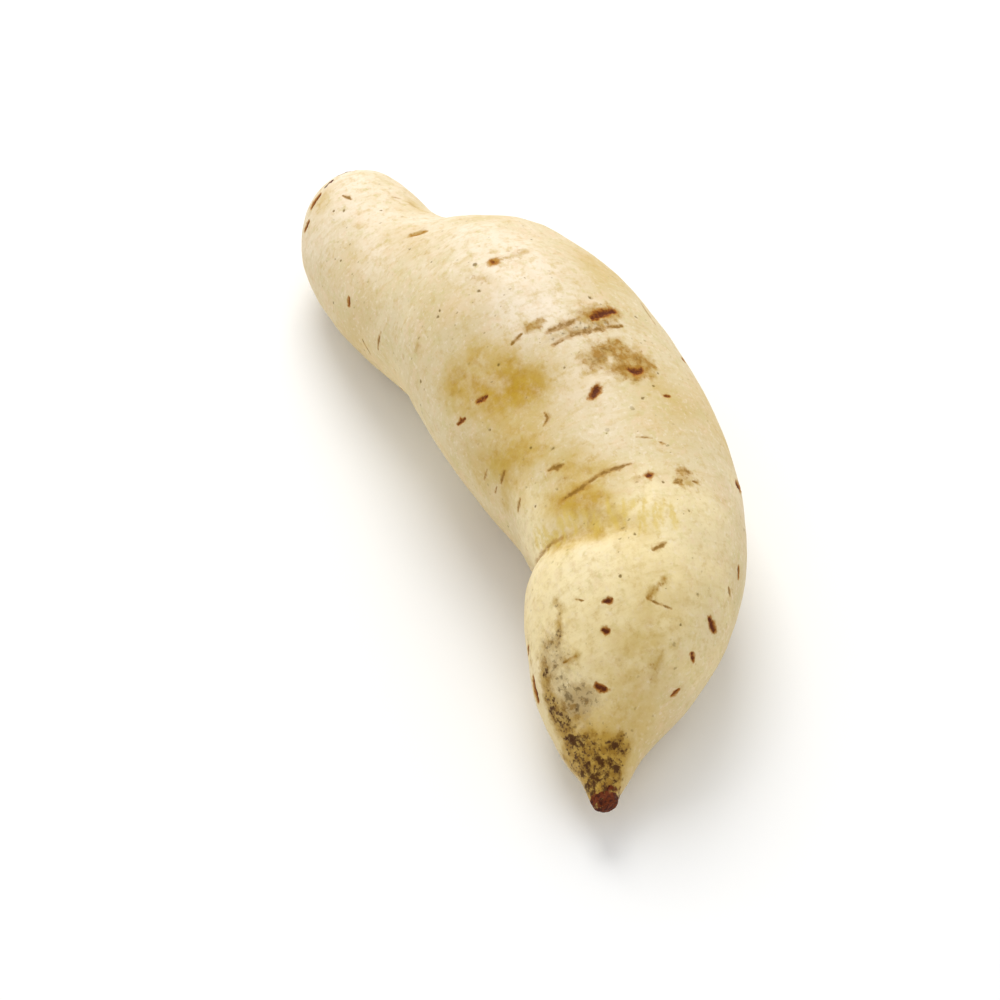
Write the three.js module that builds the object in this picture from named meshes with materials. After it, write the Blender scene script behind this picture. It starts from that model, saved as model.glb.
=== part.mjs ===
// A white sweet potato: one root that grew as one piece, lying on its side on a table.
// +X runs towards the thin root end, +Y towards the outside of the bend, +Z up.
// The origin is under the middle of its bounding box, on the surface that it lies on.
import * as THREE from "three";

// Driving dimensions, in millimetres.
const LENGTH = 200; // from the root end to the stem end, along X
const BEND = 35; // how far the middle stands out beside the root end
const WIDTH = 62; // the widest section, level with the table
const HEIGHT = 58; // the tallest section
const PRESSED = 1; // how much of the underside the resting flats take away
const FLAT_EDGE = 0.5; // the rounding where a resting flat meets the skin

const RINGS = 84;
const SIDES = 44;

// Sections from the root end to the stem end. along is a share of LENGTH, aside of BEND,
// width of WIDTH and height of HEIGHT. lift is how far the underside stands off the table, in mm,
// before the flats are pressed.
const SECTIONS = [
  { along: 0.0, aside: -0.01, width: 0.0, height: 0.0, lift: 12 },
  { along: 0.004, aside: -0.01, width: 0.085, height: 0.09, lift: 9 },
  { along: 0.02, aside: 0.01, width: 0.115, height: 0.125, lift: 7.3 },
  { along: 0.045, aside: 0.07, width: 0.2, height: 0.22, lift: 5.5 },
  { along: 0.08, aside: 0.14, width: 0.34, height: 0.38, lift: 2.5 },
  { along: 0.12, aside: 0.25, width: 0.55, height: 0.6, lift: 1 },
  { along: 0.17, aside: 0.44, width: 0.72, height: 0.78, lift: 0 },
  { along: 0.23, aside: 0.66, width: 0.82, height: 0.85, lift: 0.6 },
  { along: 0.3, aside: 0.81, width: 0.88, height: 0.87, lift: 1.2 },
  { along: 0.38, aside: 0.87, width: 0.94, height: 0.9, lift: 0.5 },
  { along: 0.46, aside: 0.84, width: 0.98, height: 0.94, lift: 0 },
  { along: 0.54, aside: 0.76, width: 1.0, height: 0.98, lift: 0.2 },
  { along: 0.62, aside: 0.67, width: 0.97, height: 1.0, lift: 0.8 },
  { along: 0.69, aside: 0.54, width: 0.89, height: 0.93, lift: 1.5 },
  { along: 0.74, aside: 0.39, width: 0.79, height: 0.82, lift: 1.5 },
  { along: 0.79, aside: 0.23, width: 0.67, height: 0.72, lift: 0.7 },
  { along: 0.85, aside: 0.13, width: 0.6, height: 0.66, lift: 0 },
  { along: 0.91, aside: 0.1, width: 0.55, height: 0.6, lift: 1.2 },
  { along: 0.96, aside: 0.1, width: 0.41, height: 0.46, lift: 6 },
  { along: 0.99, aside: 0.1, width: 0.21, height: 0.25, lift: 11 },
  { along: 1.0, aside: 0.1, width: 0.0, height: 0.0, lift: 18 },
];

// Local forms on the skin. along is a share of LENGTH. around is degrees: 0 the outside of the bend,
// 90 the top, 180 the inside. before and after are how far a form spreads towards the root end and
// towards the stem end, in mm, and spread how far around, in degrees. rise is its height in mm, and
// less than 0 for a hollow.
const FORMS = [
  { name: "neck fold", along: 0.226, around: 135, before: 3.5, after: 6, spread: 48, rise: -2.3 },
  { name: "fold notch", along: 0.245, around: 194, before: 3.2, after: 9, spread: 34, rise: -4 },
  { name: "inner waist", along: 0.33, around: 196, before: 9, after: 18, spread: 30, rise: -1.8 },
  { name: "neck saddle", along: 0.29, around: 115, before: 8, after: 12, spread: 30, rise: -1.2 },
  { name: "top hollow", along: 0.47, around: 124, before: 14, after: 16, spread: 18, rise: -2.2 },
  { name: "inner hollow", along: 0.56, around: 148, before: 12, after: 12, spread: 14, rise: -1 },
  { name: "shoulder dent", along: 0.61, around: 50, before: 9, after: 9, spread: 13, rise: -1.2 },
  { name: "hump crown", along: 0.66, around: 62, before: 14, after: 9, spread: 28, rise: -1.8 },
  { name: "stem crease", along: 0.68, around: 195, before: 5, after: 8, spread: 25, rise: -1 },
];

function spineCurves() {
  const centres = SECTIONS.map(
    (s) => new THREE.Vector3(-s.along * LENGTH, s.aside * BEND, s.lift - PRESSED + (s.height * HEIGHT) / 2),
  );
  const sizes = SECTIONS.map((s) => new THREE.Vector3(s.width * WIDTH, s.height * HEIGHT, s.along * LENGTH));
  return {
    centre: new THREE.CatmullRomCurve3(centres, false, "centripetal"),
    size: new THREE.CatmullRomCurve3(sizes, false, "centripetal"),
  };
}

// 1 at the middle of a form, falling smoothly to 0.
function falloff(distance) {
  return Math.exp(-distance * distance);
}

function degreesApart(a, b) {
  const turn = Math.abs(a - b) % 360;
  return Math.min(turn, 360 - turn);
}

// How far the local forms move the skin outwards at a place.
function localRise(along, around) {
  return FORMS.reduce((sum, form) => {
    const ahead = along - form.along * LENGTH;
    const lengthwise = ahead / (ahead < 0 ? form.before : form.after);
    const sideways = degreesApart(around, form.around) / form.spread;
    return sum + form.rise * falloff(Math.hypot(lengthwise, sideways));
  }, 0);
}

// Presses the underside flat at z = 0, with a rounded edge.
function pressed(z) {
  if (z >= FLAT_EDGE) return z;
  if (z <= -FLAT_EDGE) return 0;
  return (z + FLAT_EDGE) ** 2 / (4 * FLAT_EDGE);
}

// The skin's point at ring t (0 the root end, 1 the stem end) and an angle around in degrees.
function skinPoint(curves, t, around) {
  const centre = curves.centre.getPoint(t);
  const size = curves.size.getPoint(t);
  const ahead = curves.centre.getTangent(t).setZ(0).normalize();
  const outside = new THREE.Vector3(0, 0, 1).cross(ahead).negate();
  const angle = THREE.MathUtils.degToRad(around);
  const rise = localRise(size.z, around) * Math.min(1, size.x / (0.4 * WIDTH));
  const across = Math.cos(angle) * (Math.max(0, size.x) / 2 + rise);
  const up = Math.sin(angle) * (Math.max(0, size.y) / 2 + rise);
  const point = centre.addScaledVector(outside, across);
  point.z = pressed(point.z + up);
  return point;
}

function rootGeometry() {
  const curves = spineCurves();
  const points = [skinPoint(curves, 0, 0)];
  for (let ring = 1; ring < RINGS; ring++)
    for (let side = 0; side < SIDES; side++)
      points.push(skinPoint(curves, ring / RINGS, (360 * side) / SIDES));
  points.push(skinPoint(curves, 1, 0));
  const last = points.length - 1;
  const at = (ring, side) => 1 + (ring - 1) * SIDES + (side % SIDES);
  const faces = [];
  for (let side = 0; side < SIDES; side++) {
    faces.push(0, at(1, side), at(1, side + 1));
    for (let ring = 1; ring < RINGS - 1; ring++) {
      const [a, b, c, d] = [at(ring, side), at(ring + 1, side), at(ring + 1, side + 1), at(ring, side + 1)];
      faces.push(a, b, c, a, c, d);
    }
    faces.push(last, at(RINGS - 1, side + 1), at(RINGS - 1, side));
  }
  return new THREE.BufferGeometry().setFromPoints(points).setIndex(faces);
}

function sweetPotato() {
  const geometry = rootGeometry();
  geometry.computeVertexNormals();
  geometry.computeBoundingBox();
  const middle = geometry.boundingBox.getCenter(new THREE.Vector3());
  const skin = new THREE.MeshStandardMaterial({ color: 0xe8d6a0, roughness: 0.55, metalness: 0 });
  const mesh = new THREE.Mesh(geometry, skin);
  mesh.name = "sweet_potato";
  mesh.position.set(-middle.x, -middle.y, -geometry.boundingBox.min.z);
  return mesh;
}

const part = new THREE.Group();
part.add(sweetPotato());

export default part;
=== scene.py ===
import math
import random

import bmesh
import bpy
import numpy as np
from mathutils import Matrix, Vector, noise
from mathutils.bvhtree import BVHTree


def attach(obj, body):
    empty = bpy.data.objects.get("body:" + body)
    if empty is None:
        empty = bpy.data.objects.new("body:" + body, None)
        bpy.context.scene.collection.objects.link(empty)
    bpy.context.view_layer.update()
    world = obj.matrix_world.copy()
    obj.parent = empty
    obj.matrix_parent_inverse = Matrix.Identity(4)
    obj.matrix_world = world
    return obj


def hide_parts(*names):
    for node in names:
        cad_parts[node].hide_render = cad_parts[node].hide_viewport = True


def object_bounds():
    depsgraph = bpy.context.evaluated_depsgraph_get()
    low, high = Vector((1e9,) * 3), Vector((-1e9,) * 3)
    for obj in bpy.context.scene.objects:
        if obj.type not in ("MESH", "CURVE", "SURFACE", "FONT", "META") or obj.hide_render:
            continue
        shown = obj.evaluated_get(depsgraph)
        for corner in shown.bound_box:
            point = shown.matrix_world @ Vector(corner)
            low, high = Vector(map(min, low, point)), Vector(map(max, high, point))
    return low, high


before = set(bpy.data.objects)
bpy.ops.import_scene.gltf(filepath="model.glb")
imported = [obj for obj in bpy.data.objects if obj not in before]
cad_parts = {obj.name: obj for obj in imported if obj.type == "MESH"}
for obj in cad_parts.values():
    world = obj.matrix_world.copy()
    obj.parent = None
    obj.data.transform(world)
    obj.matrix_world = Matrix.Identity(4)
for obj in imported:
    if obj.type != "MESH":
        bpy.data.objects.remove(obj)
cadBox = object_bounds()
print("frame loaded")

# Places on the skin are (mm from the root tip, degrees around): 0 is the outside of the bend,
# 90 the top, 180 the inside of the bend and 270 the underside.
potato = {
    "name": "sweetPotato",
    "smoothLevels": 2,  # rounds the frame's facets
    "fineReach": 0.45,  # mm beyond a mark's edge where the mesh is finer
    "thinWidth": 1.6,  # marks narrower than this, in mm, get a mesh finer still
    "thinReach": 0.2,  # and this is how far beyond their edge, in mm
    "lumps": [(24.0, 0.5), (9.0, 0.22), (3.4, 0.07)],  # size and height of the skin's unevenness, mm
    "creaseWidth": 3,  # folds narrower than this, in mm, are creases and get an ochre tone
    "rim": 0.25,  # how far a scar's edge stands up, as a share of its depth
    "wrinkles": 64,  # fine pleats across the neck fold
    "pleatDepth": 0.15,  # the deepest of them, mm
    "seed": 4,
    "cream": (219, 201, 160),  # colours are picker values from 0 to 255
    # the skin's own pale tone in fine mottles, and the colour of the painted highlight on the tops
    "paleAndPaintedHighlight": (241, 226, 203),
    # a paler yellow painted on as light, mostly on the lobe
    "paintedLightYellow": (252, 234, 182),
    "deepCream": (208, 182, 124),
    "warmCream": (226, 197, 158),
    "greenCream": (203, 189, 128),
    # the skin's own yellow, which also serves as painted shade in the hollows and on the lower sides
    "yellowAndPaintedShade": (190, 152, 22),
    "pleatYellow": (214, 184, 84),
    "ochre": (170, 120, 26),
    "freckle": (118, 92, 22),
    "speck": (96, 74, 34),
    "scarRim": (182, 130, 50),
    "scarFlesh": (150, 84, 10),
    "scarCore": (84, 32, 0),
    "scratch": (136, 96, 14),
    "stain": (160, 112, 20),
    "soilWash": (178, 140, 52),
    "soilGrain": (70, 38, 2),
    "greyDust": (184, 160, 116),
    "cork": (104, 48, 16),
    "corkDark": (58, 20, 2),
    "corkFleck": (150, 96, 70),
    "roughness": 0.5,
    "specular": 0.24,
    # Round and long scars: (width mm, depth mm, path). The path's points are places on the skin.
    "scars": [
        (2.5, 0.4, [(104, 74), (105, 67), (106, 60)]),
        (2.6, 0.33, [(88.0, 71), (87, 69), (87.2, 65)]),
        (2.5, 0.42, [(82.7, 97), (84.5, 93)]),
        (1.2, 0.25, [(79.5, 60), (79.5, 57)]),
        (1.6, 0.3, [(97.5, 147), (97, 142)]),
        (1.3, 0.25, [(97.7, 162), (97, 157)]),
        (1.9, 0.3, [(57.5, 85), (57.4, 83)]),
        (1.9, 0.4, [(32.7, 113), (32.3, 110)]),
        (2.0, 0.4, [(28, 118), (27.4, 115)]),
        (3.6, 0.12, [(127.4, 100.4), (126.9, 99.9)]),
        (1.9, 0.4, [(20.5, 134), (19.3, 127)]),
        (2.0, 0.4, [(25.5, 38), (24.3, 30)]),
        (1.4, 0.25, [(20.2, 44), (19.4, 40)]),
        (1.3, 0.25, [(15.8, 41), (16.3, 38)]),
        (1.2, 0.25, [(38, 21), (36, 19)]),
        (1.6, 0.3, [(40, 182), (39.5, 186)]),
        (2.4, 0.35, [(33, 186), (29, 189)]),
        (1.3, 0.25, [(152.5, 169), (151.7, 173)]),
        (2.2, 0.3, [(187.5, 143), (189, 131)]),
        (1.8, 0.3, [(183.3, 157), (183.8, 149)]),
    ],
    # Scars on the outside of the bend and on the underside.
    "hiddenScars": [
        (2.3, 0.4, [(60, 20), (61, 12)]),
        (1.8, 0.3, [(84, 350), (86, 346)]),
        (2.6, 0.4, [(112, 8), (113, 2)]),
        (1.7, 0.3, [(134, 30), (135, 25)]),
        (2.0, 0.35, [(48, 330), (49, 325)]),
        (1.6, 0.3, [(96, 25), (97, 22)]),
        (2.4, 0.4, [(72, 225), (73, 219)]),
        (1.8, 0.3, [(104, 250), (104, 245)]),
        (2.1, 0.4, [(131, 215), (132, 208)]),
        (1.5, 0.3, [(160, 300), (161, 294)]),
        (2.2, 0.35, [(170, 20), (171, 12)]),
        (1.7, 0.3, [(38, 240), (39, 234)]),
        (1.6, 0.3, [(24, 300), (25, 292)]),
        (1.9, 0.3, [(148, 235), (149, 230)]),
        (2.5, 0.4, [(92, 300), (94, 294)]),
        (1.4, 0.25, [(118, 330), (118, 326)]),
    ],
    # Thin healed scratches and dashes: (width mm, depth mm, path).
    "scratches": [
        (2.0, 0.18, [(102.7, 99), (103.2, 90), (103.8, 82)]),
        (1.6, 0.15, [(98.9, 100), (99.9, 89), (100.2, 77), (101.1, 61)]),
        (1.5, 0.15, [(61.6, 134), (61.7, 127), (61.7, 121), (62.4, 114)]),
        (1.1, 0.15, [(61.9, 120), (62.4, 115), (62.2, 106), (61.9, 94)]),
        (1.5, 0.2, [(70.8, 135), (69.8, 127)]),
        (1.4, 0.15, [(79, 162), (79.6, 156)]),
        (0.9, 0.1, [(84.3, 171), (84.4, 165)]),
        (0.6, 0.1, [(79.8, 171), (79.8, 167)]),
        (1.2, 0.12, [(70.1, 162), (71.2, 157)]),
        (0.7, 0.1, [(68.5, 86), (67.3, 78)]),
        (0.8, 0.1, [(66, 75), (65.2, 72)]),
        (0.9, 0.1, [(104, 117), (105, 110)]),
        (0.6, 0.12, [(29.8, 86), (28.2, 79), (26.8, 69)]),
        (0.9, 0.12, [(137, 173), (136.8, 184)]),
        (0.7, 0.15, [(144, 188), (141, 194)]),
        (0.8, 0.1, [(182, 108), (179, 104)]),
        (0.7, 0.1, [(105.5, 33), (114, 29)]),
        (0.8, 0.1, [(32.5, 27), (31.3, 24)]),
        (0.8, 0.1, [(85, 123), (83.2, 123), (82, 127)]),
        (1.2, 0.1, [(39.2, 81), (40.2, 74)]),
        (0.5, 0.08, [(37, 133), (35.6, 128)]),
        (0.8, 0.1, [(54.7, 58), (54.5, 56)]),
        (1.4, 0.12, [(54.4, 69), (54.8, 65)]),
        (1.7, 0.12, [(57.7, 67), (57.2, 60)]),
        (0.7, 0.1, [(27.2, 143), (28, 154)]),
        (0.9, 0.15, [(176.2, 73), (175.7, 66)]),
        (0.7, 0.12, [(66, 345), (67, 330)]),
        (0.6, 0.1, [(124, 240), (126, 224)]),
        (0.8, 0.12, [(140, 345), (141, 330)]),
    ],
    # Small dark dots: (width mm, place).
    "dots": [
        (1.0, (120.4, 115)), (0.9, (121.5, 138)), (0.8, (122.5, 136)), (0.9, (150, 121)), (0.8, (163, 149)),
        (0.8, (165, 150)), (0.9, (178.6, 121)), (0.8, (176.7, 114)), (1.0, (114.7, 167)), (1.0, (110, 68)),
        (0.9, (79.2, 73)), (1.1, (75, 128)), (0.8, (79, 138)), (0.9, (36, 102)), (1.0, (86.6, 56)),
        (0.8, (82.5, 63)), (0.9, (44.3, 92)), (0.8, (101.6, 128)), (0.8, (92.5, 101)), (0.7, (90, 150)),
        (0.9, (66, 150)), (0.8, (72, 100)), (0.8, (134, 70)), (0.7, (139, 122)), (0.8, (171, 92)),
        (0.9, (55, 76)), (0.8, (24, 60)), (0.9, (29, 52)), (0.7, (47, 60)), (0.8, (69, 30)),
        (0.9, (90, 20)), (0.8, (123, 12)), (0.9, (52, 350)), (0.8, (143, 320)), (0.9, (103, 225)),
        (0.8, (80, 260)), (0.9, (137, 250)), (0.8, (165, 240)), (0.9, (33, 280)), (0.8, (60, 315)),
    ],
    "dotDepth": 0.1,
    # Folds in the skin: (width mm, depth mm, path).
    "folds": [
        (1.6, 0.9, [(60, 215), (58.5, 195), (57.5, 180), (57, 167), (55.8, 158), (55.5, 149), (54.3, 140)]),
        (5.5, 0.4, [(56, 156), (53, 135), (51, 118), (48, 102), (45.5, 86)]),
        (2.9, 0.45, [(127.5, 100.3), (127.1, 100), (126.8, 99.8)]),
        (1.4, 0.5, [(155.2, 109), (154.7, 104), (154.5, 100)]),
        (6.0, 1.3, [(154, 96), (152, 80), (150, 62), (149, 45)]),
        (4.0, 0.5, [(137, 186), (134, 196), (133, 205)]),
    ],
    # Soft patches of colour: (width mm, strength, path).
    # painted highlight: paler patches on the tops of the knob, the hump and the lobe's shoulder
    "paintedHighlightPatches": [
        (26.0, 0.75, [(190, 95), (172, 95), (160, 100)]),
        (16.0, 0.4, [(186, 110), (176, 116)]),
        (22.0, 0.8, [(142, 92), (126, 98), (112, 104)]),
        (14.0, 0.5, [(128, 84), (116, 84)]),
        (20.0, 0.45, [(104, 92), (96, 92)]),
        (9.0, 0.5, [(86, 108), (88, 96)]),
        (12.0, 0.3, [(78, 96), (70, 104)]),
        (17.0, 0.9, [(48, 120), (40, 104)]),
        (16.0, 0.6, [(46, 146), (32, 132)]),
    ],
    # painted light: paler patches, most of them on the lobe, that brighten it where the lamps leave it
    # darker
    "paintedLightPatches": [
        (23.0, 0.85, [(44, 142), (32, 124), (38, 100)]),
        (20.0, 0.7, [(34, 160), (24, 130)]),
        (22.0, 0.6, [(42, 84), (28, 70)]),
        (14.0, 0.3, [(52, 66), (46, 48)]),
        (14.0, 0.5, [(64, 152), (60, 162)]),
        (22.0, 0.5, [(60, 330), (80, 350)]),
        (20.0, 0.45, [(130, 215), (110, 230)]),
    ],
    # yellow patches: partly the skin's own yellow, partly painted shade that deepens the hollows and the
    # lower sides
    "yellowAndPaintedShadePatches": [
        (17.0, 0.45, [(92, 118), (97, 138)]),
        (12.0, 0.35, [(88, 140), (84, 148)]),
        (8.0, 0.45, [(70.5, 132), (69, 123)]),
        (8.0, 0.75, [(92.5, 121), (94, 128)]),
        (11.0, 0.65, [(98, 136), (103, 150)]),
        (6.0, 0.3, [(101, 122), (106, 128)]),
        (8.0, 0.6, [(108, 134), (106, 146)]),
        (10.0, 0.6, [(85, 162), (82, 148)]),
        (7.0, 0.55, [(76, 168), (79, 158)]),
        (6.0, 0.5, [(77, 136), (78, 139)]),
        (9.0, 0.9, [(62, 137), (58, 124), (56.5, 114)]),
        (8.0, 0.5, [(66, 120), (62, 108)]),
        (5.0, 0.8, [(53.5, 142), (51.5, 127), (49.5, 114)]),
        (6.0, 0.4, [(50, 106), (45, 88)]),
        (5.0, 0.5, [(187, 126), (184, 130)]),
        (4.0, 0.5, [(174.5, 58), (170, 62)]),
        (7.0, 0.3, [(150, 118), (157, 108)]),
        (14.0, 0.5, [(22, 84), (14, 92)]),
        (16.0, 0.32, [(34, 88), (28, 64)]),
        (14.0, 0.2, [(42, 160), (30, 150)]),
        (12.0, 0.25, [(26, 112), (20, 104)]),
        (10.0, 0.5, [(12, 130), (5, 130)]),
        (9.0, 0.35, [(82, 60), (76, 54)]),
        (9.0, 0.3, [(118, 52), (124, 46)]),
        (12.0, 0.35, [(120, 30), (128, 38)]),
        (14.0, 0.3, [(150, 200), (140, 215)]),
        (16.0, 0.4, [(60, 300), (80, 290)]),
        (16.0, 0.35, [(120, 280), (140, 290)]),
        (14.0, 0.5, [(76, 12), (90, 4)]),
        (12.0, 0.45, [(142, 352), (132, 346)]),
        (12.0, 0.5, [(100, 222), (92, 212)]),
        (10.0, 0.5, [(48, 212), (42, 222)]),
        (10.0, 0.45, [(180, 320), (186, 350)]),
    ],
    "stains": [
        (1.8, 0.9, [(155.2, 109), (154.7, 104), (154.6, 101)]),
        (2.6, 0.8, [(127.2, 100.5), (127, 99.5)]),
        (2.4, 0.5, [(127.2, 94), (127.0, 91)]),
        (2.6, 0.55, [(127.2, 88), (128.4, 83)]),
        (2.2, 0.4, [(126, 115), (122, 108)]),
        (2.6, 0.9, [(105.3, 105), (106, 99)]),
        (5.2, 0.9, [(91.6, 86), (94, 78), (94.5, 71)]),
        (4.5, 0.9, [(91.5, 72), (91.5, 64), (89, 60)]),
        (6.0, 1.0, [(88.5, 74), (87.5, 70), (88, 65)]),
        (2.0, 0.9, [(92, 84), (94.5, 79), (95.5, 72), (94, 66)]),
        (5.0, 0.85, [(104.5, 76), (105, 62)]),
        (1.8, 0.6, [(57.5, 92), (57.4, 90)]),
        (4.6, 0.55, [(57, 64), (54.5, 62)]),
        (1.6, 0.8, [(32.4, 75), (31, 80), (30, 85)]),
        (3.0, 0.45, [(18, 74), (20, 70)]),
        (2.4, 0.45, [(40, 182), (36, 184)]),
        (1.5, 0.6, [(174.5, 60), (172, 61)]),
        (2.2, 0.6, [(120.6, 158), (120.6, 156)]),
        (1.6, 0.6, [(124.6, 170), (124.6, 169)]),
        (2.0, 0.45, [(66.8, 130), (65.5, 127)]),
        (5.0, 0.6, [(116, 262), (122, 255)]),
        (4.0, 0.6, [(68, 10), (72, 4)]),
        (5.0, 0.5, [(98, 335), (104, 330)]),
        (4.5, 0.8, [(88, 215), (92, 222)]),
        (3.4, 0.8, [(152, 352), (149, 346)]),
        (4.0, 0.6, [(176, 260), (180, 285)]),
    ],
    # Soil in the pores and on the tip: (width mm, thickness of cover, path).
    "soilPatches": [
        (2.2, 0.62, [(40.5, 147), (38, 146), (35.5, 149), (33, 152)]),
        (3.4, 0.55, [(33, 152), (33, 158), (35, 163), (34, 170), (31, 168)]),
        (3.0, 0.6, [(27.2, 143), (28, 153)]),
        (4.0, 0.6, [(30, 172), (25, 178), (21, 180)]),
        (5.0, 0.95, [(21, 178), (19, 178), (16, 176), (13, 166), (10.5, 160)]),
        (2.6, 0.6, [(26, 179), (21, 178), (15, 172)]),
        (4.0, 0.75, [(15.5, 192), (12.5, 185), (8.5, 170)]),
        (6.0, 0.75, [(14, 150), (10.5, 140), (7.5, 125)]),
        (3.4, 0.75, [(11.5, 116), (10.8, 108)]),
        (3.0, 0.75, [(11.6, 97), (11, 93)]),
        (4.0, 0.8, [(9.8, 76), (7.5, 80), (5, 85)]),
        (7.0, 0.85, [(9, 124), (6.5, 118), (4.5, 112)]),
        (5.5, 0.85, [(6, 150), (4, 160), (3, 150)]),
        (4.5, 0.5, [(21, 146), (19.5, 156)]),
        (6.0, 0.35, [(28, 165), (24, 166), (20, 168)]),
        (6.0, 0.55, [(14, 215), (8, 225)]),
        (5.0, 0.5, [(9, 300), (5, 290)]),
        (4.5, 0.5, [(176, 215), (170, 222)]),
        (4.0, 0.62, [(46, 318), (40, 326), (36, 322)]),
        (5.0, 0.55, [(108, 282), (118, 276)]),
        (3.6, 0.6, [(190, 330), (187, 345)]),
    ],
    "greyPatches": [
        (8.0, 0.6, [(30, 162), (25, 160), (22, 156)]),
        (6.0, 0.85, [(21, 160), (20, 153), (20, 146)]),
        (5.0, 0.5, [(34, 158), (31, 160)]),
        (4.0, 0.7, [(101, 98), (101.5, 84), (102.5, 68)]),
    ],
    # Corky places where the skin healed: the root tip and the stem end.
    "corkPatches": [
        (6.4, 1.0, [(0.2, 0), (0.3, 90), (0.2, 180)]),
        (6.4, 1.0, [(0.2, 180), (0.3, 270), (0.2, 360)]),
        (2.6, 0.9, [(2.2, 130), (2.4, 180), (2.2, 230)]),
        (1.4, 0.7, [(190.5, 121), (191.5, 112)]),
        (1.6, 0.75, [(193.5, 104), (194.5, 90), (194, 80)]),
        (9.0, 1.0, [(199.5, 40), (199.7, 120), (199.5, 210)]),
        (6.0, 0.9, [(199.0, 240), (199.3, 320)]),
        (2.6, 0.8, [(196, 190), (193.5, 215)]),
    ],
}


def stationsOf(node, spacing=0.005):
    # the middle of each slice along X: rows of x, y and z
    points = np.array([v.co for v in node.data.vertices])
    rows = []
    for x in np.arange(cadBox[0][0] + spacing / 2, cadBox[1][0], spacing):
        slab = points[np.abs(points[:, 0] - x) <= spacing / 2]
        low, high = slab.min(axis=0), slab.max(axis=0)
        rows.append((x, (low[1] + high[1]) / 2, (low[2] + high[2]) / 2))
    return np.array(rows).T


def smoothCopy(node, shape):
    mesh = node.data.copy()
    bm = bmesh.new()
    bm.from_mesh(mesh)
    bmesh.ops.remove_doubles(bm, verts=bm.verts, dist=0.000001)
    bmesh.ops.join_triangles(bm, faces=bm.faces, angle_face_threshold=0.7, angle_shape_threshold=1.2)
    bm.to_mesh(mesh)
    bm.free()
    piece = bpy.data.objects.new(shape["name"], mesh)
    bpy.context.scene.collection.objects.link(piece)
    rounding = piece.modifiers.new("rounding", "SUBSURF")
    rounding.levels = shape["smoothLevels"]
    rounding.render_levels = shape["smoothLevels"]
    depsgraph = bpy.context.evaluated_depsgraph_get()
    piece.data = bpy.data.meshes.new_from_object(piece.evaluated_get(depsgraph))
    piece.data.name = shape["name"]
    piece.modifiers.clear()
    return piece


def skinPlace(tree, stations, fromTip, around):
    # the point of the skin at a distance from the tip and an angle around the middle line
    x = cadBox[1][0] - fromTip / 1000
    middle = Vector((x, np.interp(x, stations[0], stations[1]), np.interp(x, stations[0], stations[2])))
    turn = math.radians(around)
    hit = tree.ray_cast(middle, Vector((0, math.cos(turn), math.sin(turn))))
    return np.array(hit[0] if hit[0] else middle)


def skinPath(tree, stations, path):
    # the same for a whole path, in short steps, so that it follows the skin
    places = []
    for (tipA, turnA), (tipB, turnB) in zip(path[:-1], path[1:]):
        steps = max(1, int(max(abs(tipB - tipA) / 2, abs(turnB - turnA) / 4)))
        for step in range(steps):
            share = step / steps
            fromTip = tipA + share * (tipB - tipA)
            around = turnA + share * (turnB - turnA)
            places.append(skinPlace(tree, stations, fromTip, around))
    places.append(skinPlace(tree, stations, *path[-1]))
    return np.array(places)


def distanceToPath(points, places):
    # each point's distance to the path, and how far along the path its nearest place is, 0 to 1
    nearest = np.full(len(points), 1e9)
    share = np.zeros(len(points))
    for index, (start, end) in enumerate(zip(places[:-1], places[1:])):
        step = end - start
        length = float(step @ step) + 1e-15
        t = np.clip((points - start) @ step / length, 0, 1)
        away = np.linalg.norm(points - start - t[:, None] * step, axis=1)
        closer = away < nearest
        nearest[closer] = away[closer]
        share[closer] = (index + t[closer]) / (len(places) - 1)
    return nearest, share


def markField(points, ragged, marks, tree, stations, taper=0.0, fade=False):
    # 1 on a mark's middle line, 0.5 at its edge and 0 one width away, with the depth of that mark
    field = np.zeros(len(points))
    depth = np.zeros(len(points))
    for width, strength, path in marks:
        places = skinPath(tree, stations, path)
        reach = width / 1000 * 1.2 + 0.0005
        near = np.all((points > places.min(axis=0) - reach) & (points < places.max(axis=0) + reach), axis=1)
        index = np.nonzero(near)[0]
        if not len(index):
            continue
        away, share = distanceToPath(points[index], places)
        radius = np.full(len(index), width / 2000)
        middle = np.sin(math.pi * np.clip(share, 0.06, 0.94))
        radius *= 1 - taper * (1 - middle)
        faded = middle ** 0.6 if fade else np.ones(len(index))
        value = np.clip(1 - away * ragged[index] / (2 * radius), 0, 1)
        better = value > field[index]
        field[index[better]] = value[better]
        depth[index[better]] = strength * faded[better]
    return field, depth


def softField(points, uneven, patches, tree, stations):
    # strength that fades away over a patch's width, and patches add up to no more than 1
    field = np.zeros(len(points))
    for width, strength, path in patches:
        places = skinPath(tree, stations, path)
        away = distanceToPath(points, places)[0]
        field += (1 - field) * strength * np.exp(-((away * uneven * 1000 / (0.62 * width)) ** 2))
    return field


def noiseAt(points, size, seed):
    # smooth noise from -1 to 1 at every point, with features about size mm across
    shift = Vector((seed * 7.3, seed * 3.1, seed * 5.7))
    scale = 1000 / size
    return np.array([noise.noise(Vector(p) * scale + shift) for p in points])


def wrinklePleats(shape, maker):
    # short pleats that cross the neck fold, each with its own length and lean
    pleats = []
    for _ in range(shape["wrinkles"]):
        share = maker.random()
        around = 160 - 92 * share
        middle = 57.5 - 12.5 * share ** 1.1 + maker.uniform(-1.5, 3)
        half = maker.uniform(1.5, 3.6)
        lean = maker.uniform(-1.5, 1.5)
        width = maker.uniform(1.0, 1.7)
        depth = maker.uniform(0.07, shape["pleatDepth"])
        pleats.append((width, depth, [(middle - half, around - lean), (middle + half, around + lean)]))
    return pleats


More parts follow.
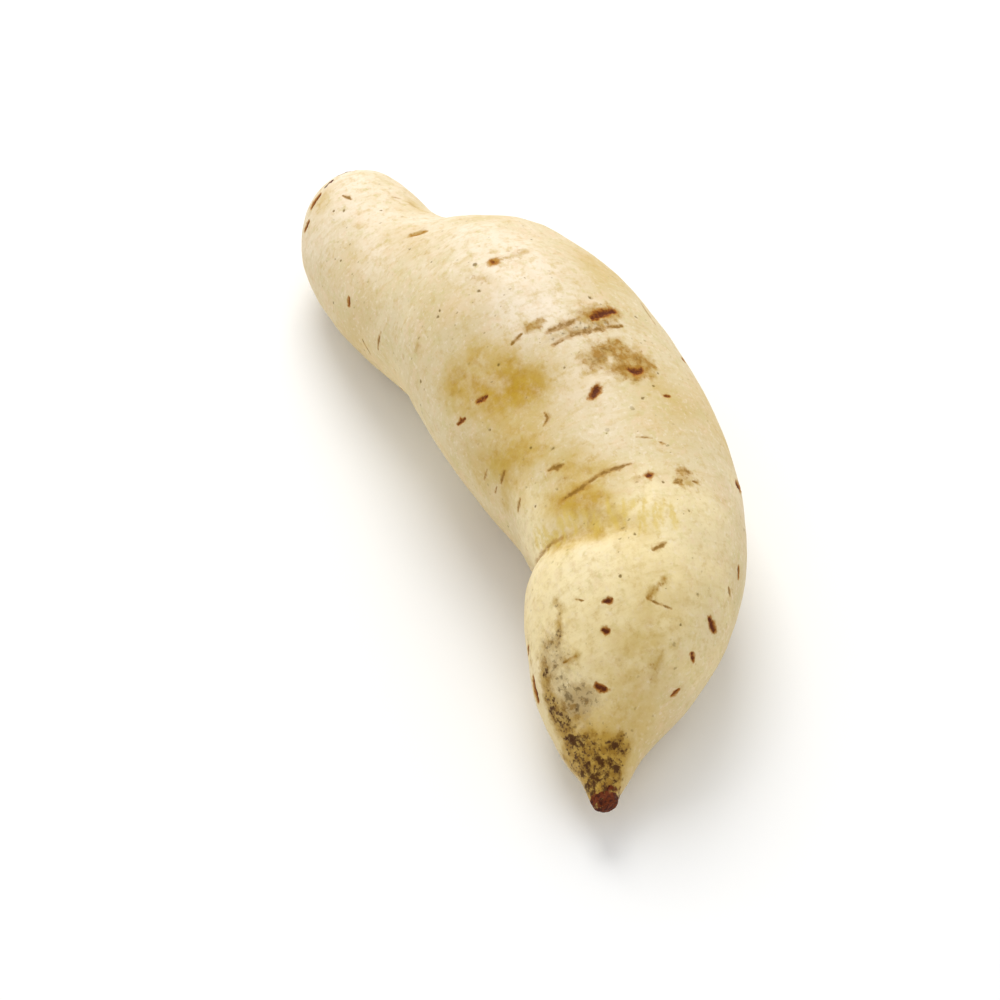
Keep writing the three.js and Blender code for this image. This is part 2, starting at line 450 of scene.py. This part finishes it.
def finerNear(piece, marks, tree, stations, reach):
    # halves the edges of the faces within reach mm of the marks
    bm = bmesh.new()
    bm.from_mesh(piece.data)
    bm.faces.ensure_lookup_table()
    centres = np.array([f.calc_center_median() for f in bm.faces])
    near = np.zeros(len(centres), bool)
    for width, _, path in marks:
        places = skinPath(tree, stations, path)
        limit = (width / 2 + reach) / 1000
        low, high = places.min(axis=0) - limit, places.max(axis=0) + limit
        close = np.all((centres > low) & (centres < high), axis=1)
        index = np.nonzero(close)[0]
        if len(index):
            away = distanceToPath(centres[index], places)[0]
            near[index[away < limit]] = True
    edges = {edge for index in np.nonzero(near)[0] for edge in bm.faces[index].edges}
    bmesh.ops.subdivide_edges(bm, edges=list(edges), cuts=1, use_grid_fill=True)
    bmesh.ops.triangulate(bm, faces=[f for f in bm.faces if len(f.verts) > 4])
    bm.to_mesh(piece.data)
    bm.free()


def storeField(mesh, name, values):
    field = mesh.attributes.new(name, "FLOAT", "POINT")
    field.data.foreach_set("value", np.asarray(values, dtype=np.float32))


def smoothStep(values, low, high):
    share = np.clip((values - low) / (high - low), 0, 1)
    return share * share * (3 - 2 * share)


def makePotato(node, shape):
    maker = random.Random(shape["seed"])
    stations = stationsOf(node)
    piece = smoothCopy(node, shape)
    bm = bmesh.new()
    bm.from_mesh(piece.data)
    tree = BVHTree.FromBMesh(bm)
    bm.free()
    print("skin rounded:", len(piece.data.polygons), "faces")

    pleats = wrinklePleats(shape, maker)
    sharp = shape["scars"] + shape["hiddenScars"] + shape["scratches"]
    creases = [mark for mark in shape["folds"] if mark[0] < shape["creaseWidth"]]
    dots = [(width, shape["dotDepth"], [place, place]) for width, place in shape["dots"]]
    detailed = sharp + pleats + dots + creases + shape["corkPatches"]
    finerNear(piece, detailed, tree, stations, shape["fineReach"])
    thin = [mark for mark in sharp + dots + creases if mark[0] < shape["thinWidth"]]
    finerNear(piece, thin, tree, stations, shape["thinReach"])
    mesh = piece.data
    print("finer round the marks:", len(mesh.polygons), "faces")

    points = np.array([v.co for v in mesh.vertices])
    normals = np.array([v.normal for v in mesh.vertices])
    ragged = np.clip(1.08 + 0.55 * noiseAt(points, 1.6, 11) + 0.4 * noiseAt(points, 0.7, 12), 0.45, 2.2)
    even = np.ones(len(points))
    uneven = np.clip(1 + 0.5 * noiseAt(points, 12.0, 15) + 0.25 * noiseAt(points, 4.0, 16), 0.5, 2.0)
    scar, scarDepth = markField(points, ragged, shape["scars"] + shape["hiddenScars"], tree, stations, 0.25)
    dot, dotDepth = markField(points, ragged, dots, tree, stations)
    scratch, scratchDepth = markField(points, ragged, shape["scratches"], tree, stations, 0.5)
    pleat, pleatDepth = markField(points, even, pleats, tree, stations, 0.4, True)
    fold, foldDepth = markField(points, even, shape["folds"], tree, stations, 0.4, True)
    crease = markField(points, ragged, creases, tree, stations, 0.4)[0]
    cork, corkStrength = markField(points, ragged, shape["corkPatches"], tree, stations)
    stain, stainStrength = markField(points, ragged, shape["stains"], tree, stations)
    soil = softField(points, even, shape["soilPatches"], tree, stations)
    grey = softField(points, uneven, shape["greyPatches"], tree, stations)
    yellowAndPaintedShade = softField(points, uneven, shape["yellowAndPaintedShadePatches"], tree, stations)
    print("marks placed")

    height = np.zeros(len(points))
    for index, (size, rise) in enumerate(shape["lumps"]):
        height += rise * noiseAt(points, size, index + 1)
    scratch *= np.clip(0.82 + 0.55 * noiseAt(points, 2.4, 14), 0.35, 1)
    scar *= np.clip(0.5 + 1.3 * scarDepth, 0, 1)  # shallow scars stay pale
    scarRim = shape["rim"] * np.exp(-(((scar - 0.33) / 0.12) ** 2))
    height -= scarDepth * (smoothStep(scar, 0.3, 0.9) - scarRim)
    height -= scratchDepth * smoothStep(scratch, 0.25, 0.95)
    height -= dotDepth * smoothStep(dot, 0.3, 0.9)
    height -= pleatDepth * smoothStep(pleat, 0.1, 1)
    height -= foldDepth * smoothStep(fold, 0, 1)
    rough = noiseAt(points, 1.3, 21) + 0.6 * noiseAt(points, 0.6, 22)
    height += 0.22 * rough * smoothStep(cork, 0.35, 0.7) * corkStrength
    height += 0.05 * np.abs(rough) * smoothStep(soil, 0.35, 0.8)
    height *= smoothStep(points[:, 2] * 1000, 0.05, 2.5)  # the resting flats stay flat
    points += normals * (height / 1000)[:, None]
    points[:, 2] = np.maximum(points[:, 2], 0)
    mesh.vertices.foreach_set("co", points.ravel())
    mesh.update()

    storeField(mesh, "scar", scar)
    storeField(mesh, "scratch", scratch)
    storeField(mesh, "crease", crease)
    storeField(mesh, "dot", dot)
    storeField(mesh, "pleat", pleat * pleatDepth / shape["pleatDepth"])
    storeField(mesh, "cork", cork * corkStrength)
    storeField(mesh, "stain", stain * stainStrength)
    storeField(mesh, "soil", soil)
    storeField(mesh, "grey", grey)
    # yellow patches, partly painted shade in the hollows and on the lower sides
    storeField(mesh, "yellowAndPaintedShade", yellowAndPaintedShade)
    # the painted highlight on the tops
    storeField(mesh, "paleAndPaintedHighlight", softField(points, uneven, shape["paintedHighlightPatches"], tree, stations))
    # the painted light, mostly on the lobe
    storeField(mesh, "paintedLight", softField(points, uneven, shape["paintedLightPatches"], tree, stations))
    for polygon in mesh.polygons:
        polygon.use_smooth = True
    print("skin shaped:", sum(len(p.vertices) - 2 for p in mesh.polygons), "triangles")
    return piece


def toneOf(picked):
    # a colour picker's 0 to 255 values as the linear colour that a socket takes
    return tuple((v / 255) ** 2.2 for v in picked) + (1.0,)


def addNode(nodes, kind, inputs=None, **settings):
    node = nodes.new(kind)
    for name, value in settings.items():
        setattr(node, name, value)
    for name, value in (inputs or {}).items():
        node.inputs[name].default_value = value
    return node


def makeGroup(name, inputs, outputs):
    group = bpy.data.node_groups.new(name, "ShaderNodeTree")
    for label, value in inputs:
        socket = group.interface.new_socket(name=label, in_out="INPUT", socket_type="NodeSocketFloat")
        socket.default_value = value
    for label in outputs:
        group.interface.new_socket(name=label, in_out="OUTPUT", socket_type="NodeSocketFloat")
    return group


def makeBrokenEdge():
    # turns a soft field into a mask whose edge is broken up by grain
    inputs = [("Field", 0), ("Edge", 0.5), ("Grain", 1200), ("Break", 0.3), ("Soft", 0.08)]
    group = makeGroup("brokenEdge", inputs, ["Mask"])
    nodes, links = group.nodes, group.links
    start = addNode(nodes, "NodeGroupInput")
    end = addNode(nodes, "NodeGroupOutput")
    place = addNode(nodes, "ShaderNodeTexCoord")
    grain = addNode(nodes, "ShaderNodeTexNoise", {"Detail": 4.0, "Roughness": 0.62})
    centred = addNode(nodes, "ShaderNodeMath", {1: 0.5}, operation="SUBTRACT")
    moved = addNode(nodes, "ShaderNodeMath", operation="MULTIPLY_ADD")
    low = addNode(nodes, "ShaderNodeMath", operation="SUBTRACT")
    high = addNode(nodes, "ShaderNodeMath", operation="ADD")
    ramp = addNode(nodes, "ShaderNodeMapRange", interpolation_type="SMOOTHSTEP")
    links.new(place.outputs["Object"], grain.inputs["Vector"])
    links.new(start.outputs["Grain"], grain.inputs["Scale"])
    links.new(grain.outputs[0], centred.inputs[0])
    links.new(centred.outputs[0], moved.inputs[0])
    links.new(start.outputs["Break"], moved.inputs[1])
    links.new(start.outputs["Field"], moved.inputs[2])
    for edge in (low, high):
        links.new(start.outputs["Edge"], edge.inputs[0])
        links.new(start.outputs["Soft"], edge.inputs[1])
    links.new(moved.outputs[0], ramp.inputs["Value"])
    links.new(low.outputs[0], ramp.inputs["From Min"])
    links.new(high.outputs[0], ramp.inputs["From Max"])
    links.new(ramp.outputs[0], end.inputs["Mask"])
    return group


def makeScatteredDots():
    # round or drawn-out dots, some of them missing, each of its own size
    inputs = [("Scale", 300), ("Stretch", 1), ("Size", 0.2), ("Share", 0.3)]
    group = makeGroup("scatteredDots", inputs, ["Mask"])
    nodes, links = group.nodes, group.links
    start = addNode(nodes, "NodeGroupInput")
    end = addNode(nodes, "NodeGroupOutput")
    place = addNode(nodes, "ShaderNodeTexCoord")
    wobble = addNode(nodes, "ShaderNodeTexNoise", {"Scale": 900.0, "Detail": 2.0})
    shift = addNode(nodes, "ShaderNodeVectorMath", {1: (0.0009, 0.0009, 0.0009)}, operation="MULTIPLY_ADD")
    stretch = addNode(nodes, "ShaderNodeCombineXYZ", {"Y": 1.0, "Z": 1.0})
    drawn = addNode(nodes, "ShaderNodeVectorMath", operation="MULTIPLY")
    cells = addNode(nodes, "ShaderNodeTexVoronoi")
    channels = addNode(nodes, "ShaderNodeSeparateColor")
    radius = addNode(nodes, "ShaderNodeMath", operation="MULTIPLY")
    edge = {"From Min": 1.15, "From Max": 0.55}
    inside = addNode(nodes, "ShaderNodeMapRange", edge, interpolation_type="SMOOTHSTEP")
    ratio = addNode(nodes, "ShaderNodeMath", operation="DIVIDE")
    present = addNode(nodes, "ShaderNodeMath", operation="LESS_THAN")
    both = addNode(nodes, "ShaderNodeMath", operation="MULTIPLY")
    links.new(place.outputs["Object"], wobble.inputs["Vector"])
    links.new(wobble.outputs["Color"], shift.inputs[0])
    links.new(place.outputs["Object"], shift.inputs[2])
    links.new(start.outputs["Stretch"], stretch.inputs["X"])
    links.new(shift.outputs[0], drawn.inputs[0])
    links.new(stretch.outputs[0], drawn.inputs[1])
    links.new(drawn.outputs[0], cells.inputs["Vector"])
    links.new(start.outputs["Scale"], cells.inputs["Scale"])
    links.new(cells.outputs["Color"], channels.inputs[0])
    links.new(channels.outputs[0], radius.inputs[0])
    links.new(start.outputs["Size"], radius.inputs[1])
    links.new(cells.outputs["Distance"], ratio.inputs[0])
    links.new(radius.outputs[0], ratio.inputs[1])
    links.new(ratio.outputs[0], inside.inputs["Value"])
    links.new(channels.outputs[1], present.inputs[0])
    links.new(start.outputs["Share"], present.inputs[1])
    links.new(inside.outputs[0], both.inputs[0])
    links.new(present.outputs[0], both.inputs[1])
    links.new(both.outputs[0], end.inputs["Mask"])
    return group


def makeSkinMaterial(look):
    material = bpy.data.materials.new("creamSkin")
    material.use_nodes = True
    nodes, links = material.node_tree.nodes, material.node_tree.links
    surface = nodes["Principled BSDF"]
    brokenEdge = makeBrokenEdge()
    scatteredDots = makeScatteredDots()
    place = addNode(nodes, "ShaderNodeTexCoord")

    def cloud(scale, detail=3.0, roughness=0.55):
        values = {"Scale": scale, "Detail": detail, "Roughness": roughness}
        node = addNode(nodes, "ShaderNodeTexNoise", values)
        links.new(place.outputs["Object"], node.inputs["Vector"])
        return node.outputs[0]

    def streaks(scale, stretch):
        # fine lines that run round the root
        drawn = addNode(nodes, "ShaderNodeMapping", {"Scale": (stretch, 1.0, 1.0)})
        node = addNode(nodes, "ShaderNodeTexNoise", {"Scale": scale, "Detail": 4.0, "Roughness": 0.6})
        links.new(place.outputs["Object"], drawn.inputs["Vector"])
        links.new(drawn.outputs[0], node.inputs["Vector"])
        return node.outputs[0]

    def curve(value, low, high, bottom=0.0, top=1.0):
        values = {"From Min": low, "From Max": high, "To Min": bottom, "To Max": top}
        node = addNode(nodes, "ShaderNodeMapRange", values, interpolation_type="SMOOTHSTEP")
        links.new(value, node.inputs["Value"])
        return node.outputs[0]

    def stored(name):
        return addNode(nodes, "ShaderNodeAttribute", attribute_name=name).outputs["Fac"]

    def broken(field, edge, grain, breakUp, soft):
        node = addNode(nodes, "ShaderNodeGroup", node_tree=brokenEdge)
        for label, value in (("Edge", edge), ("Grain", grain), ("Break", breakUp), ("Soft", soft)):
            node.inputs[label].default_value = value
        links.new(field, node.inputs["Field"])
        return node.outputs["Mask"]

    def dots(scale, stretch, size, share):
        node = addNode(nodes, "ShaderNodeGroup", node_tree=scatteredDots)
        for label, value in (("Scale", scale), ("Stretch", stretch), ("Size", size), ("Share", share)):
            node.inputs[label].default_value = value
        return node.outputs["Mask"]

    def times(first, second):
        node = addNode(nodes, "ShaderNodeMath", operation="MULTIPLY")
        links.new(first, node.inputs[0])
        if isinstance(second, float):
            node.inputs[1].default_value = second
        else:
            links.new(second, node.inputs[1])
        return node.outputs[0]

    def plus(first, second):
        node = addNode(nodes, "ShaderNodeMath", operation="ADD")
        links.new(first, node.inputs[0])
        links.new(second, node.inputs[1])
        return node.outputs[0]

    def over(under, tone, mask):
        # paints a tone over what is under it
        node = addNode(nodes, "ShaderNodeMix", data_type="RGBA")
        links.new(mask, node.inputs[0])
        if isinstance(under, tuple):
            node.inputs[6].default_value = under
        else:
            links.new(under, node.inputs[6])
        if isinstance(tone, tuple):
            node.inputs[7].default_value = tone
        else:
            links.new(tone, node.inputs[7])
        return node.outputs[2]

    def tone(name):
        return toneOf(look[name])

    yellowAndPaintedShade, soil, grey = stored("yellowAndPaintedShade"), stored("soil"), stored("grey")
    scar, scratch, stain = stored("scar"), stored("scratch"), stored("stain")
    cork, crease, paleAndPaintedHighlight = stored("cork"), stored("crease"), stored("paleAndPaintedHighlight")
    dot, pleat, paintedLight = stored("dot"), stored("pleat"), stored("paintedLight")

    # thin skin over pale flesh: broad clouds, small mottling and a fine grain, with a painted highlight on
    # the tops, painted light on the lobe and yellow patches that are partly painted shade
    colour = over(tone("cream"), tone("deepCream"), curve(cloud(34, 4.0), 0.35, 0.7, 0.0, 0.75))
    colour = over(colour, tone("warmCream"), curve(cloud(75, 3.0), 0.5, 0.75, 0.0, 0.5))
    colour = over(colour, tone("greenCream"), curve(cloud(120, 4.0, 0.6), 0.5, 0.72, 0.0, 0.55))
    # painted highlight: paler cream on the tops
    colour = over(colour, tone("paleAndPaintedHighlight"), times(paleAndPaintedHighlight, curve(cloud(130, 4.0, 0.6), 0.25, 0.6, 0.5, 1.0)))
    # painted light: a paler yellow over the lobe
    paintedLightMask = times(paintedLight, curve(cloud(150, 4.0, 0.6), 0.25, 0.6, 0.7, 1.0))
    colour = over(colour, tone("paintedLightYellow"), paintedLightMask)
    colour = over(colour, tone("warmCream"), curve(cloud(310, 4.0, 0.65), 0.5, 0.72, 0.0, 0.6))
    colour = over(colour, tone("deepCream"), curve(cloud(420, 5.0, 0.65), 0.48, 0.7, 0.0, 0.6))
    colour = over(colour, tone("greenCream"), curve(cloud(560, 4.0, 0.6), 0.52, 0.7, 0.0, 0.5))
    # fine pale mottles of the skin's own tone
    colour = over(colour, tone("paleAndPaintedHighlight"), curve(cloud(900, 3.0), 0.54, 0.7, 0.0, 0.4))
    colour = over(colour, tone("deepCream"), curve(streaks(170, 4.5), 0.5, 0.72, 0.0, 0.4))
    # more of the painted light, laid over the mottles
    colour = over(colour, tone("paintedLightYellow"), times(paintedLight, 0.35))
    # yellow patches: partly the skin's own yellow, partly painted shade in the hollows and on the lower
    # sides
    yellowAndPaintedShadeMask = times(yellowAndPaintedShade, curve(cloud(230, 4.0, 0.65), 0.3, 0.62, 0.5, 1.0))
    colour = over(colour, tone("yellowAndPaintedShade"), yellowAndPaintedShadeMask)
    # ochre in the middle of the yellow patches, which is also partly painted shade
    colour = over(colour, tone("ochre"), times(broken(yellowAndPaintedShade, 0.92, 420.0, 1.4, 0.4), 0.55))
    colour = over(colour, tone("pleatYellow"), times(broken(pleat, 0.4, 700.0, 0.9, 0.3), 0.6))

    # pores and freckles, in loose groups
    grouped = curve(cloud(70, 3.0), 0.4, 0.6, 0.35, 1.0)
    freckles = plus(dots(250.0, 1.0, 0.17, 0.34), times(dots(560.0, 1.5, 0.26, 0.3), 0.6))
    colour = over(colour, tone("freckle"), times(times(freckles, grouped), 0.8))

    # soil, stains and marks
    colour = over(colour, tone("soilWash"), times(broken(soil, 0.48, 340.0, 1.2, 0.35), 0.85))
    dustMask = broken(grey, 0.6, 800.0, 1.6, 0.45)
    colour = over(colour, tone("greyDust"), times(dustMask, 0.75))
    colour = over(colour, tone("speck"), times(broken(grey, 0.98, 640.0, 3.2, 0.25), 0.7))
    colour = over(colour, tone("soilWash"), times(broken(stain, 0.38, 420.0, 1.0, 0.35), 0.7))
    stainMask = broken(stain, 0.72, 700.0, 2.2, 0.35)
    colour = over(colour, tone("stain"), times(stainMask, 0.85))
    colour = over(colour, tone("scratch"), times(broken(stain, 1.05, 500.0, 2.6, 0.3), 0.8))
    colour = over(colour, tone("ochre"), times(broken(crease, 0.5, 900.0, 1.0, 0.3), 0.6))
    colour = over(colour, tone("ochre"), times(broken(scratch, 0.3, 700.0, 1.0, 0.3), 0.6))
    scratchMask = broken(scratch, 0.6, 900.0, 1.8, 0.25)
    colour = over(colour, tone("scratch"), times(scratchMask, 0.85))
    grimeMask = broken(soil, 0.85, 420.0, 2.8, 0.3)
    colour = over(colour, tone("scratch"), times(grimeMask, 0.7))
    soilMask = broken(soil, 1.06, 520.0, 3.4, 0.25)
    colour = over(colour, tone("soilGrain"), times(soilMask, 0.92))
    colour = over(colour, tone("soilGrain"), times(broken(soil, 1.2, 1100.0, 3.6, 0.2), 0.85))
    colour = over(colour, tone("freckle"), times(broken(dot, 0.6, 1000.0, 1.0, 0.25), 0.85))
    rimMask = broken(scar, 0.36, 900.0, 0.6, 0.2)
    colour = over(colour, tone("scarRim"), times(rimMask, 0.85))
    colour = over(colour, tone("scarFlesh"), times(broken(scar, 0.52, 1200.0, 0.8, 0.18), 0.9))
    coreMask = broken(scar, 0.7, 1400.0, 1.0, 0.2)
    colour = over(colour, tone("scarCore"), times(coreMask, 0.9))
    corkMask = broken(cork, 0.45, 1100.0, 0.6, 0.12)
    corkTone = over(tone("cork"), tone("corkFleck"), curve(cloud(1500, 4.0, 0.7), 0.58, 0.7, 0.0, 0.7))
    corkTone = over(corkTone, tone("corkDark"), curve(cloud(800, 4.0, 0.65), 0.46, 0.58, 0.0, 0.9))
    colour = over(colour, corkTone, corkMask)
    links.new(colour, surface.inputs["Base Color"])

    # dull where the skin is broken or dirty, faintly waxy elsewhere
    dirty = plus(times(soilMask, 0.3), times(dustMask, 0.2))
    dull = plus(dirty, plus(times(rimMask, 0.22), times(corkMask, 0.3)))
    waxy = curve(cloud(300, 3.0), 0.3, 0.7, look["roughness"] - 0.06, look["roughness"] + 0.08)
    links.new(plus(waxy, dull), surface.inputs["Roughness"])
    surface.inputs["Specular IOR Level"].default_value = look["specular"]

    waves = plus(times(cloud(380, 4.0, 0.6), 0.7), times(streaks(190, 4.5), 0.6))
    grainHeight = plus(times(cloud(1500, 3.0), 0.35), waves)
    crust = plus(times(soilMask, 0.5), times(corkMask, cloud(1800, 4.0, 0.7)))
    pits = plus(times(freckles, -0.35), times(coreMask, times(cloud(2400, 3.0), -0.9)))
    relief = addNode(nodes, "ShaderNodeBump", {"Strength": 0.55, "Distance": 0.00022})
    links.new(plus(grainHeight, plus(crust, pits)), relief.inputs["Height"])
    links.new(relief.outputs["Normal"], surface.inputs["Normal"])
    return material


sweetPotato = makePotato(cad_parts["sweet_potato"], potato)
sweetPotato.data.materials.clear()
sweetPotato.data.materials.append(makeSkinMaterial(potato))
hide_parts("sweet_potato")
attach(sweetPotato, "root")
print("skin material made")

studio = {
    "azimuth": 70,  # the camera's place around the root, in degrees
    "elevation": 50,
    "distance": 0.8,
    "lens": 120,
    "sensor": 36,
    "aim": (0.0099, -0.0160, 0.0144),
    "floor": (247, 247, 246),
    "floorRoughness": 0.7,
    "floorSpecular": 0.2,
    "floorSize": 6.0,
    "surround": 0.78,  # even white light from all sides
    "keyPower": 8.4,
    "keySize": 0.7,
    "keyPlace": (-0.75, 0.14, 0.98),
}


def makeStudio(look):
    bm = bmesh.new()
    bmesh.ops.create_grid(bm, x_segments=2, y_segments=2, size=look["floorSize"] / 2)
    mesh = bpy.data.meshes.new("paleFloor")
    bm.to_mesh(mesh)
    bm.free()
    floor = bpy.data.objects.new("paleFloor", mesh)
    bpy.context.scene.collection.objects.link(floor)
    paint = bpy.data.materials.new("paleFloor")
    paint.use_nodes = True
    surface = paint.node_tree.nodes["Principled BSDF"]
    surface.inputs["Base Color"].default_value = toneOf(look["floor"])
    surface.inputs["Roughness"].default_value = look["floorRoughness"]
    surface.inputs["Specular IOR Level"].default_value = look["floorSpecular"]
    mesh.materials.append(paint)

    lamp = bpy.data.lights.new("keyLight", "AREA")
    lamp.energy = look["keyPower"]
    lamp.size = look["keySize"]
    key = bpy.data.objects.new("keyLight", lamp)
    key.location = look["keyPlace"]
    key.rotation_euler = (-Vector(look["keyPlace"])).to_track_quat("-Z", "Y").to_euler()
    bpy.context.scene.collection.objects.link(key)

    world = bpy.data.worlds.new("surround")
    world.use_nodes = True
    world.node_tree.nodes["Background"].inputs["Color"].default_value = (1, 1, 1, 1)
    world.node_tree.nodes["Background"].inputs["Strength"].default_value = look["surround"]
    bpy.context.scene.world = world

    azimuth = math.radians(look["azimuth"])
    elevation = math.radians(look["elevation"])
    level = math.cos(elevation)
    back = Vector((math.sin(azimuth) * level, -math.cos(azimuth) * level, math.sin(elevation)))
    view = bpy.data.cameras.new("camera")
    view.lens = look["lens"]
    view.sensor_width = look["sensor"]
    camera = bpy.data.objects.new("camera", view)
    camera.location = Vector(look["aim"]) + back * look["distance"]
    camera.rotation_euler = (-back).to_track_quat("-Z", "Y").to_euler()
    bpy.context.scene.collection.objects.link(camera)
    bpy.context.scene.camera = camera
    bpy.context.scene.view_settings.view_transform = "Standard"


makeStudio(studio)
print("studio made")
